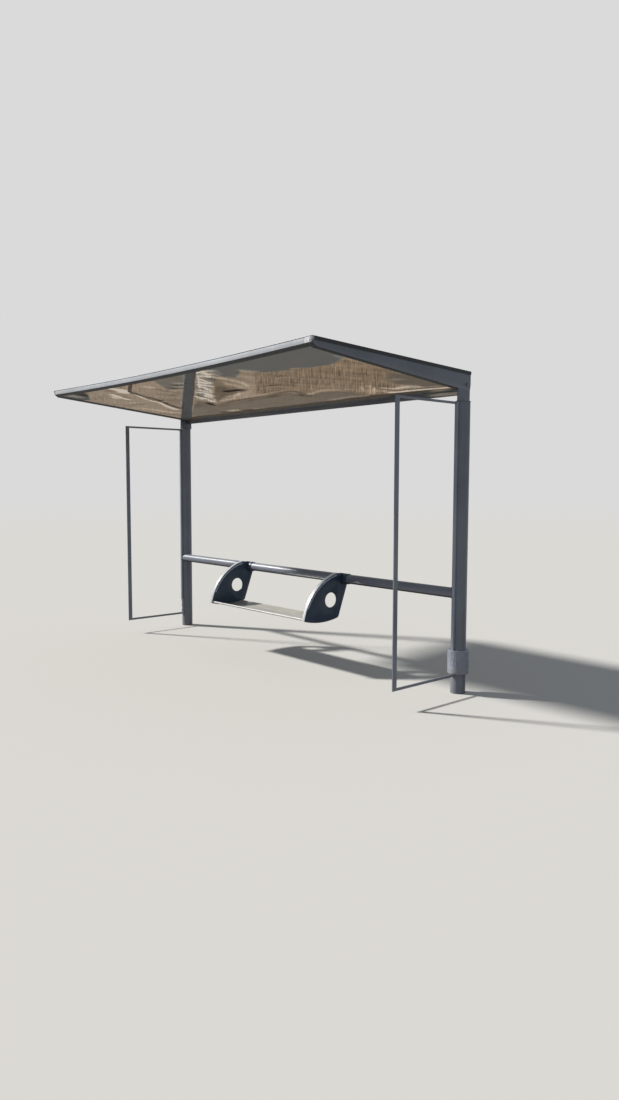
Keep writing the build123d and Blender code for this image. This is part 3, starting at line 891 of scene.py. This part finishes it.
class SHELTER_OT_plates(bpy.types.Operator):
    """Rounds the cut edges of the arms, necks, beams, sheets and screen frames"""
    bl_idname = "shelter.plates"
    bl_label = "Arms, beams and screens"

    def execute(self, context):
        plan = [("front_fascia", "fascia_paint", NOSE_ROUND), ("rear_beam", "beam_paint", 1.0),
                ("rear_fascia", "frame_paint", 0.6), ("roof_sheet", "roof_paint", 0.6)]
        for side in SIDES:
            plan += [(side + end, "frame_paint", 1.0) for end in ("_arm", "_neck")]
            plan += [(side + bar, "screen_paint", 0.8)
                     for bar in ("_screen_upright", "_screen_top_rail", "_screen_bottom_rail")]
            plan.append((side + "_screen_rear_bar", "bar_paint", 0.8))
        for node, finish, width in plan:
            mesh = rounded(welded_copy(node), sizes().edge * width)
            if node in ("front_fascia", "roof_sheet"):
                mesh = smooth(drooped(mesh), 42.0)
            piece(node + "_finished", mesh, finish, [node])
        return {"FINISHED"}


class SHELTER_OT_soffit(bpy.types.Operator):
    """Makes the soffit a thin sheet with shallow waves"""
    bl_idname = "shelter.soffit"
    bl_label = "Soffit"

    def execute(self, context):
        low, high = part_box("soffit_sheet")
        slope = (high.z - low.z - SOFFIT_THICK) / (high.y - low.y)
        columns, rows, rings = 250, 150, []
        for column in range(columns + 1):
            x = low.x + (high.x - low.x) * column / columns
            under, over = [], []
            for row in range(rows + 1):
                y = low.y + (high.y - low.y) * row / rows
                z = high.z - SOFFIT_THICK - slope * (y - low.y) + self.wave(x, y, low, high)
                under.append((x, y, z))
                over.append((x, y, z + SOFFIT_THICK))
            rings.append(under + over[::-1])
        mesh = ringed("soffit_panel", rings, ends="strips")
        self.mark(mesh)
        piece("soffit_panel", smooth(mesh, 40.0), "soffit_gloss", ["soffit_sheet"])
        return {"FINISHED"}

    def wave(self, x, y, low, high):
        """How far the sheet is off its plane: shallow waves, ripples at the rear right, and the sag."""
        ends = min(x - low.x, high.x - x, y - low.y, high.y - y)
        broad = noise.noise(Vector((x * 1.3, y * 2.1, 4.0)))
        short = noise.noise(Vector((x * 3.4, y * 4.2, 9.0)))
        rear_right = share(y, -0.40, -0.28) * share(x, 2.95, 3.25)
        ripple = 0.0009 * rear_right * math.sin(2.0 * math.pi * (y - 0.10 * (x - 3.3)) / 0.085)
        shallow = sizes().waves * share(ends, 0.0, 0.18) * (broad + 0.45 * short)
        return shallow + ripple * share(ends, 0.0, 0.03) - droop(x, y)

    def mark(self, mesh):
        """Writes the painted reflections: how light, warm and streaked the sheet is at each point of it."""
        places = np.empty(len(mesh.vertices) * 3, np.float32)
        mesh.vertices.foreach_get("co", places)
        places = places.reshape(-1, 3)[:, :2].astype(float)
        values = np.tile(SOFFIT_REFLECTION_BASE, (len(places), 1))
        for row in SOFFIT_REFLECTION_AREAS:
            part = np.clip(0.5 + inset(places, on_sheet(row[3:])) / AREA_BLEND, 0.0, 1.0)
            values += (np.array(row[:3]) - values) * part[:, None]
        for change, half_width, *row in SOFFIT_REFLECTION_MARKS:
            away = off_line(places, on_sheet(row)) / max(half_width / 1000, FINEST_MARK)
            values[:, 0] += change / 100 * np.exp(-(away ** 2) * 0.9)
        values[:, 0] = np.maximum(values[:, 0], SOFFIT_DARKEST)
        for index, name in enumerate(("reflection_lightness", "reflection_warmth", "reflection_strokes")):
            layer = mesh.attributes.new(name, "FLOAT", "POINT")
            layer.data.foreach_set("value", values[:, index].astype(np.float32))


class SHELTER_OT_bench(bpy.types.Operator):
    """Makes the bench: tube, collars, fan plates, armrests and the seat pan"""
    bl_idname = "shelter.bench"
    bl_label = "Bench"

    def execute(self, context):
        self.tube()
        for side in SIDES:
            mesh = rounded(welded_copy(side + "_end_plate"), sizes().edge)
            piece(side + "_end_plate_finished", mesh, "plate_paint", [side + "_end_plate"])
            self.armrest(side)
            for half in SIDES:
                self.collar(side + "_plate_" + half + "_collar")
        mesh = smooth(welded_copy("seat_pan"), 40.0)
        piece("seat_pan_finished", mesh, "seat_gloss", ["seat_pan"])
        return {"FINISHED"}

    def tube(self):
        """The tube between the posts, cut to saddle on them, without the slivers that the cut leaves."""
        low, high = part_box("bench_tube")
        stations = (low.x, low.x + 0.2, high.x - 0.2, high.x)
        mesh = lathe("bench_tube_coped", [(TUBE_R, x) for x in stations], lying=True)
        for side in SIDES:
            r = POST_R + COPE_GAP
            mesh = cut(mesh, lathe("cope", [(r, low.z - 0.05), (r, high.z + 0.05)], POST_X[side]))
        mesh = smooth(outward(largest_part(mesh)), 30.0)
        piece("bench_tube_coped", mesh, "frame_paint", ["bench_tube"])

    def armrest(self, side):
        """The rolled bar on the plate's curve, and the low rims under it on both sides of the plate."""
        low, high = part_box(side + "_armrest")
        half, middle, outer = (high.x - low.x) / 2, (low.x + high.x) / 2, ARC_R + BAR_PROUD
        valley, lip = outer - VALLEY_DEPTH, outer - LIP_DEPTH
        crown = [(CROWN_HALF, outer), (half - LIP_FOOT, valley), (half - LIP_TOP, lip), (half - ARRIS, lip),
                 (half, lip - ARRIS), (half, ARC_R)]
        section = [(middle - x, r) for x, r in reversed(crown)] + [(middle + x, r) for x, r in crown]
        start = math.atan2(low.z - ARC_Z, math.sqrt(max(ARC_R ** 2 - (low.z - ARC_Z) ** 2, 0.0)))
        bar = smooth(self.rolled("crowned", section, start), 20.0)
        piece(side + "_armrest_bar", bar, "armrest_paint", [side + "_armrest"])
        rims = []
        for way in (-1.0, 1.0):
            near, far = middle + way * RIM_NEAR, middle + way * RIM_FAR
            inner, outer = ARC_R - RIM_INNER, ARC_R - RIM_OUTER
            section = [(near, inner), (near, outer), (far, outer), (far, inner)]
            rims.append(rounded(self.rolled("rim", section, RIM_START), ARRIS))
        # The rims take the lighter paint as a painted highlight
        piece(side + "_armrest_rims", joined(side + "_armrest_rims", rims), "rim_paint")

    def rolled(self, name, section, start, steps=72):
        """A bar whose section of (x, radius) points is carried along the plate's front curve."""
        rings = []
        for step in range(steps + 1):
            angle = start + (ARC_END - start) * step / steps
            c, s = math.cos(angle), math.sin(angle)
            rings.append([(x, ARC_Y - radius * c, ARC_Z + radius * s) for x, radius in section])
        return ringed(name, rings)

    def collar(self, node):
        low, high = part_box(node)
        r, bore, soft = (high.z - low.z) / 2, TUBE_R - 0.001, COLLAR_ROUND
        edge = [(bore, 0.0), (r - soft, 0.0), (r - soft * 0.3, soft * 0.3), (r, soft)]
        profile = [(radius, low.x + in_by) for radius, in_by in edge]
        profile += [(radius, high.x - in_by) for radius, in_by in reversed(edge)]
        mesh = lathe(node + "_ring", profile, lying=True)
        piece(node + "_ring", smooth(mesh, 40.0), "plate_paint", [node])


class SHELTER_OT_wrap(bpy.types.Operator):
    """Makes the crumpled film round the right post's foot"""
    bl_idname = "shelter.wrap"
    bl_label = "Film wrap"

    def execute(self, context):
        low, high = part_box("right_post_wrap")
        middle, reach = (low.x + high.x) / 2, (high.x - low.x) / 2

        def place(c, s, t, outside):
            ragged = 0.006 * noise.noise(Vector((c * 2.2, s * 2.2, 3.0)))
            radius = self.crumpled(c, s, t, reach) if outside else POST_R + 0.001
            z = low.z + FILM_LIFT + (high.z - low.z - 0.010) * t + ragged * (t - 0.3)
            return middle + radius * c, radius * s, z

        mesh = smooth(sleeve("post_film_wrap", 220, 60, place), 60.0)
        piece("post_film_wrap", mesh, "wrap_film", ["right_post_wrap"])
        return {"FINISHED"}

    def crumpled(self, c, s, t, reach):
        """The film's outer radius: folded, creased, and drawn in at its top and bottom."""
        fold = noise.noise(Vector((c * 3.0, s * 3.0, t * 2.4)))
        crease = abs(noise.noise(Vector((c * 7.0 + t * 2.0, s * 7.0, t * 5.0))))
        ends = share(min(t, 1.0 - t), 0.0, 0.10)
        drawn = 0.0012 + 0.0022 * (1.0 - math.sqrt(ends)) + 0.003 * crease * ends
        return min(reach - drawn + 0.0022 * fold, reach)


class SHELTER_OT_remnants(bpy.types.Operator):
    """Adds the white film left on the roof's right corner and on the left screen's rear bar"""
    bl_idname = "shelter.remnants"
    bl_label = "Film remnants"

    def execute(self, context):
        self.corner()
        self.bar()
        return {"FINISHED"}

    def corner(self):
        """Film on the fascia's front and top edge, torn where noise says so."""
        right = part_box("front_fascia")[1].x
        start, end, slices = right - CORNER_START, right - CORNER_END, 12
        mesh = drooped(rounded(welded_copy("front_fascia"), sizes().edge * NOSE_ROUND))
        with edited(mesh) as bm:
            slice_at(bm, start, -1.0, clear=True)
            slice_at(bm, end, 1.0, clear=True)
            for step in range(1, slices):
                slice_at(bm, start + (end - start) * step / slices)
            bm.normal_update()
            top = max(vert.co.z for vert in bm.verts)
            bare = []
            for face in bm.faces:
                middle = face.calc_center_median()
                front = face.normal.y < -0.25 and face.normal.z > -0.30
                crown = face.normal.z > 0.5 and middle.z > top - 0.006
                limit = 0.10 + (middle.x - right + 0.050) * 30.0
                torn = noise.noise(Vector((middle.x * 60.0, middle.z * 90.0, 2.0))) > limit
                if torn or not (front or crown):
                    bare.append(face)
            bmesh.ops.delete(bm, geom=bare, context="FACES")
            for vert in bm.verts:
                vert.co += vert.normal * FILM_GAP
        mesh = with_modifier(mesh, "SOLIDIFY", thickness=FILM_THICK, offset=1.0)
        piece("corner_film", smooth(mesh, 60.0), "film_remnant")

    def bar(self):
        """A crumpled sleeve round the foot of the bar."""
        low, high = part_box("left_screen_rear_bar")
        middle, half = (low + high) / 2, (high - low) / 2

        def place(c, s, t, outside):
            crumple = noise.noise(Vector((c * 4.0, s * 4.0, t * 15.4)))
            off = 0.0009 + 0.0006 * crumple if outside else 0.0001
            ragged = 0.008 * noise.noise(Vector((c * 1.7, s * 1.7, 5.0)))
            reach = 1.0 / max(abs(c), abs(s))
            return (middle.x + c * reach * (half.x + off), middle.y + s * reach * (half.y + off),
                    low.z + FILM_LIFT + (BAR_FILM + ragged) * t)

        piece("bar_film", smooth(sleeve("bar_film", 24, 22, place), 50.0), "film_remnant")


class SHELTER_OT_fasteners(bpy.types.Operator):
    """Adds the arm bolts and the weld beads"""
    bl_idname = "shelter.fasteners"
    bl_label = "Bolts and welds"

    def execute(self, context):
        spots, facing, welds = [], [], []
        cap_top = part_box("left_post_cap")[1].z
        for side in SIDES:
            low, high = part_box(side + "_arm")
            spots += [(low.x, BOLT_Y, BOLT_Z), (high.x, BOLT_Y, BOLT_Z)]
            facing += [(-1.0, 0.0, 0.0), (1.0, 0.0, 0.0)]
            low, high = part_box(side + "_neck")
            welds += [[(x, low.y + 0.001, cap_top), (x, high.y - 0.001, cap_top)] for x in (low.x, high.x)]
        mesh = bolt_tree().run("arm_bolts", spots, facing=facing, Head_Radius=sizes().bolt_radius,
                               Material=finish_of("zinc_fastener"))
        piece("arm_bolts", smooth(mesh, 30.0), "zinc_fastener")
        for side, way in (("left", 1.0), ("right", -1.0)):
            welds.append([self.cope_point(POST_X[side], way, math.radians(5.0 * step)) for step in range(73)])
        points, edges = [], []
        for line in welds:
            edges += [(index, index + 1) for index in range(len(points), len(points) + len(line) - 1)]
            points += line
        mesh = weld_tree().run("weld_beads", points, edges, Ripple_Radius=sizes().weld_radius,
                               Pitch=sizes().weld_pitch, Material=finish_of("frame_paint"))
        piece("weld_beads", smooth(mesh, 60.0), "frame_paint")
        return {"FINISHED"}

    def cope_point(self, post_x, way, turn):
        """A point of the line where the bench tube runs into a post, at a turn about the tube."""
        y, z = TUBE_Y + TUBE_R * math.cos(turn), TUBE_Z + TUBE_R * math.sin(turn)
        return post_x + way * math.sqrt(max(POST_R ** 2 - y ** 2, 0.0)), y, z


class SHELTER_OT_stage(bpy.types.Operator):
    """Sets the floor, the light and the camera"""
    bl_idname = "shelter.stage"
    bl_label = "Stage"

    def execute(self, context):
        self.floor()
        self.light()
        self.camera()
        context.scene.view_settings.view_transform = "Standard"
        return {"FINISHED"}

    def floor(self):
        """A pale floor that runs out into the backdrop. What it gives back to the shelter is darker."""
        corners = [(x * FLOOR_REACH, y * FLOOR_REACH, 0.0) for x, y in ((-1, -1), (1, -1), (1, 1), (-1, 1))]
        floor = placed("studio_floor", mesh_from("studio_floor", corners, [(0, 1, 2, 3)]))
        finish = Finish("studio_floor")
        seen = finish.number("Is Camera Ray", "ShaderNodeLightPath")
        glossy = finish.number("Is Glossy Ray", "ShaderNodeLightPath")
        given = finish.mix(glossy, (stage().bounce,) * 3, (stage().mirrored,) * 3)
        tone = finish.mix(seen, given, tuple(stage().floor))
        near = finish.node("ShaderNodeBsdfDiffuse", {"Color": tone})
        far = finish.node("ShaderNodeEmission", {"Color": (*stage().backdrop, 1.0)})
        away = finish.number("Value", "ShaderNodeVectorMath", {0: finish.place}, operation="LENGTH")
        fade = finish.step(away, *FLOOR_FADE)
        sockets = {0: fade * seen, 1: near.outputs[0], 2: far.outputs[0]}
        finish.show(finish.node("ShaderNodeMixShader", sockets))
        floor.data.materials.append(finish.material)

    def light(self):
        """An even light from all round, a plain backdrop where the camera looks past the part, and a soft sun."""
        world = bpy.data.worlds.new("studio_world")
        bpy.context.scene.world = world
        world.use_nodes = True
        world.node_tree.nodes.clear()
        sky = NodeTree(world.node_tree)
        sockets = {"Color": (0.88, 0.94, 1.0, 1.0), "Strength": stage().fill}
        even = sky.node("ShaderNodeBackground", sockets)
        shown = sky.node("ShaderNodeBackground", {"Color": (*stage().backdrop, 1.0)})
        rays = sky.node("ShaderNodeLightPath").outputs
        sockets = {0: rays["Is Camera Ray"], 1: rays["Is Transmission Ray"]}
        seen = sky.node("ShaderNodeMath", sockets, operation="MAXIMUM")
        sockets = {0: seen.outputs[0], 1: even.outputs[0], 2: shown.outputs[0]}
        blend = sky.node("ShaderNodeMixShader", sockets)
        sky.node("ShaderNodeOutputWorld", {"Surface": blend.outputs[0]})
        lamp = bpy.data.lights.new("key_light", "SUN")
        lamp.energy, lamp.angle, lamp.color = stage().key, SUN_SPREAD, SUN_COLOUR
        holder = placed("key_light", lamp)
        toward = Vector(SUN_SIDE)
        holder.location = toward * 10.0
        holder.rotation_euler = toward.to_track_quat("Z", "Y").to_euler()

    def camera(self):
        lens = bpy.data.cameras.new("photo_camera")
        lens.sensor_fit = "AUTO"
        lens.sensor_width = SENSOR
        lens.lens = SENSOR * FOCAL_LENGTH / PICTURE_HEIGHT
        lens.clip_end = 400.0
        holder = placed("photo_camera", lens)
        turn = Matrix.Rotation(CAMERA_YAW, 4, "Z") @ Matrix.Rotation(math.pi / 2 + CAMERA_PITCH, 4, "X")
        holder.matrix_world = Matrix.Translation(CAMERA_SPOT) @ turn @ Matrix.Rotation(CAMERA_ROLL, 4, "Z")
        bpy.context.scene.camera = holder


class SHELTER_PT_panel(bpy.types.Panel):
    """Lists the shelter's steps and settings in the sidebar"""
    bl_idname = "SHELTER_PT_panel"
    bl_label = "Bus shelter"
    bl_space_type = "VIEW_3D"
    bl_region_type = "UI"
    bl_category = "Shelter"

    def draw(self, context):
        for step in STEPS:
            self.layout.operator(step.bl_idname)
        for key, kind in GROUPS.items():
            box = self.layout.box()
            for name in kind.__annotations__:
                box.prop(getattr(context.scene, key), name)


STEPS = (SHELTER_OT_posts, SHELTER_OT_plates, SHELTER_OT_soffit, SHELTER_OT_bench, SHELTER_OT_wrap,
         SHELTER_OT_remnants, SHELTER_OT_fasteners, SHELTER_OT_stage)
GROUPS = {"shelter_paint": ShelterPaint, "shelter_sizes": ShelterSizes, "shelter_stage": ShelterStage}


def register():
    for kind in (*GROUPS.values(), *STEPS, SHELTER_PT_panel):
        bpy.utils.register_class(kind)
    for key, kind in GROUPS.items():
        setattr(bpy.types.Scene, key, PointerProperty(type=kind))


def unregister():
    for key in GROUPS:
        delattr(bpy.types.Scene, key)
    for kind in reversed((*GROUPS.values(), *STEPS, SHELTER_PT_panel)):
        bpy.utils.unregister_class(kind)


def main():
    register()
    for step in STEPS:
        group, action = step.bl_idname.split(".")
        getattr(getattr(bpy.ops, group), action)()


if __name__ == "__main__":
    main()
